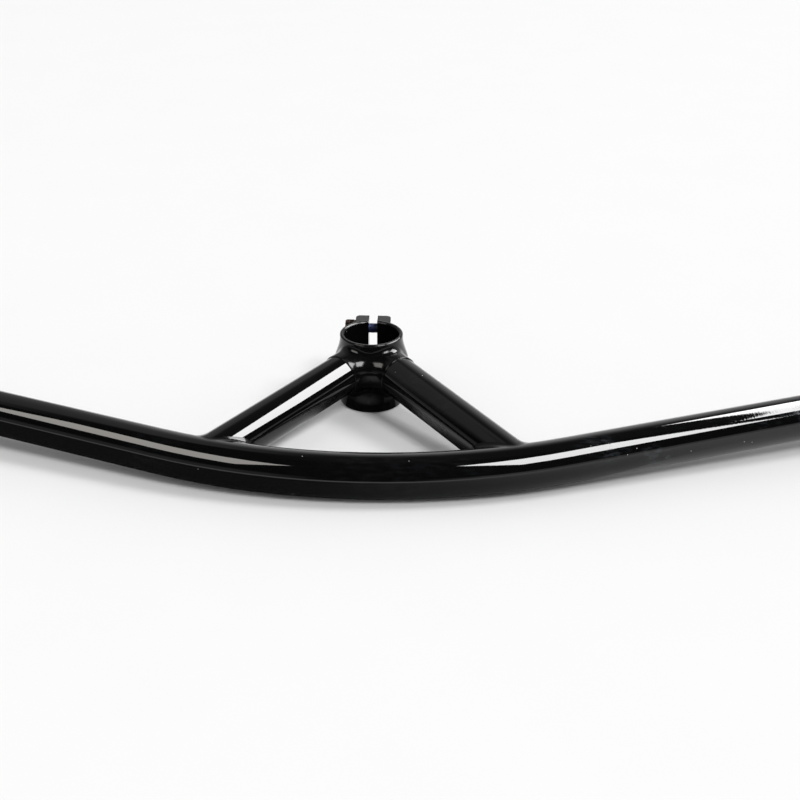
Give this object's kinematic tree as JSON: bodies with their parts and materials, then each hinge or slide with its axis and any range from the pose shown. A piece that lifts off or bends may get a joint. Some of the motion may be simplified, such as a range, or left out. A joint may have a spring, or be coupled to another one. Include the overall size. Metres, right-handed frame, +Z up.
{
  "type": "integrated handlebar",
  "caption": "One-piece bicycle handlebar and stem: a swept-back bar carried by a V of welded arm tubes on a split steerer clamp with cap-screw pinch bolts.",
  "frame": {"origin": "on the steerer axis at the clamp's lower end face", "axes": "+Z up along the steerer axis, -Y forward towards the middle of the bar, +X to the right of someone looking at the bar's front"},
  "size_m": [0.7272, 0.1371, 0.0387],
  "materials": {
    "gloss_black": "gloss black coat over aluminium",
    "black_steel": "black oxide steel"
  },
  "bodies": {
    "root": {"handlebar_tube": "gloss_black", "left_arm": "gloss_black", "right_arm": "gloss_black", "bar_welds": "gloss_black", "steerer_clamp": "gloss_black", "clamp_bolts": "black_steel"}
  },
  "joints": []
}
